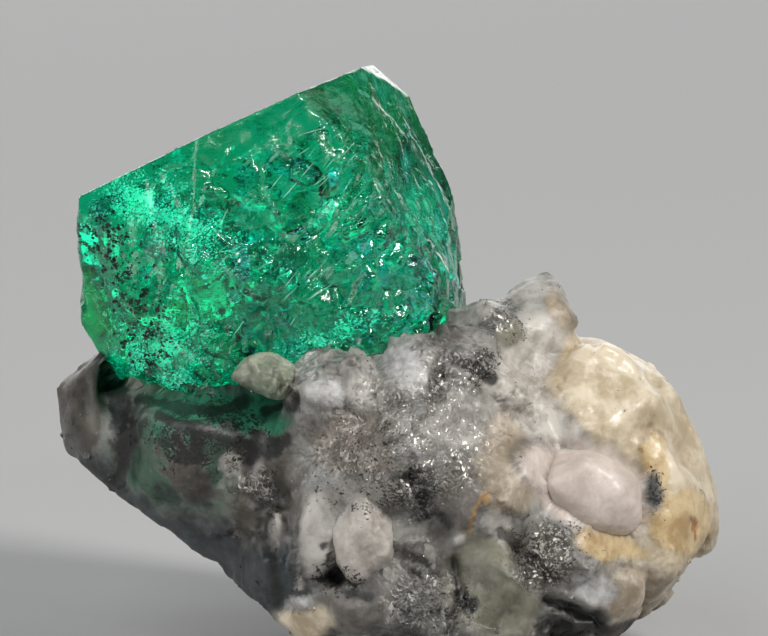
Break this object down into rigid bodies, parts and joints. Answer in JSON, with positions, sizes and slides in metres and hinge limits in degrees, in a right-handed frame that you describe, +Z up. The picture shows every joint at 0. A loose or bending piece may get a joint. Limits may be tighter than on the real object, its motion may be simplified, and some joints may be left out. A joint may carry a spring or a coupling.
{
  "type": "emerald in matrix",
  "caption": "Stubby hexagonal emerald crystal standing tilted in a broken lump of milky quartz with fine mica.",
  "frame": {"origin": "middle of the bounding box's floor, on the surface that the specimen rests on", "axes": "+X to the right along the show side, +Y to the back of the specimen, +Z up; the show side faces -Y"},
  "size_m": [0.0332, 0.0226, 0.0293],
  "materials": {
    "emerald": "clear green beryl full of fractures, glossy",
    "quartz_rock": "milky grey to cream quartz with mica, broken and partly waxy",
    "smooth_quartz": "smooth milky quartz, satin",
    "grey_quartz": "grey quartz, satin",
    "pale_beryl": "pale green beryl, satin"
  },
  "bodies": {
    "root": {"emerald_crystal": "emerald", "matrix_rock": "quartz_rock", "smooth_quartz_grain": "smooth_quartz", "oval_quartz_grain": "grey_quartz", "pale_green_beryl_grain": "pale_beryl"}
  },
  "joints": []
}
